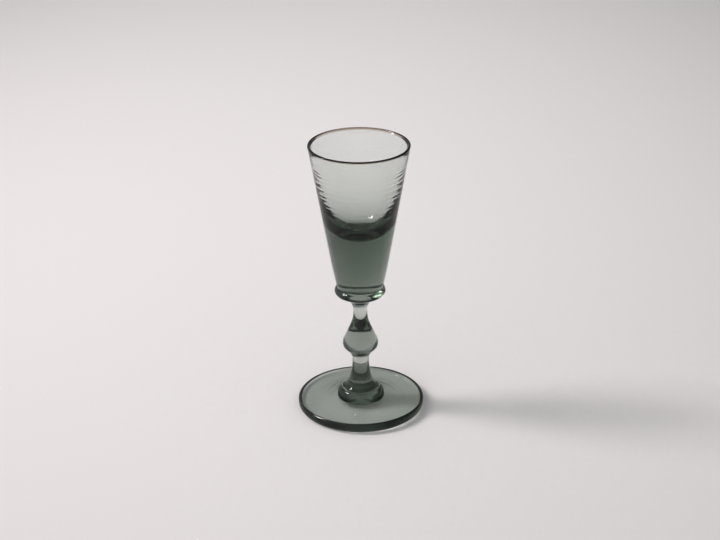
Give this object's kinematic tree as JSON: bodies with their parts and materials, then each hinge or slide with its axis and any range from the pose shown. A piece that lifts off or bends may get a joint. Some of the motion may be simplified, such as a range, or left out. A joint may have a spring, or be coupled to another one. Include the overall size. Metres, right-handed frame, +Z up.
{
  "type": "stemmed snaps glass",
  "caption": "Small stemmed snaps glass with a conical bowl on a thick solid base, a collar, a baluster stem, a wafer and a disc foot.",
  "frame": {"origin": "centre of the foot's resting face, on the table", "axes": "+Z up along the glass's axis, from the foot to the rim; the glass is round, so X and Y are free"},
  "size_m": [0.0588, 0.0588, 0.13],
  "materials": {
    "bowl_glass": "fire-polished smoke-grey glass, faint tooling rings inside",
    "smoke_glass": "fire-polished smoke-grey glass with a few seed bubbles"
  },
  "bodies": {
    "root": {"bowl": "bowl_glass", "collar": "smoke_glass", "baluster": "smoke_glass", "lower_stem": "smoke_glass", "wafer": "smoke_glass", "foot": "smoke_glass"}
  },
  "joints": []
}
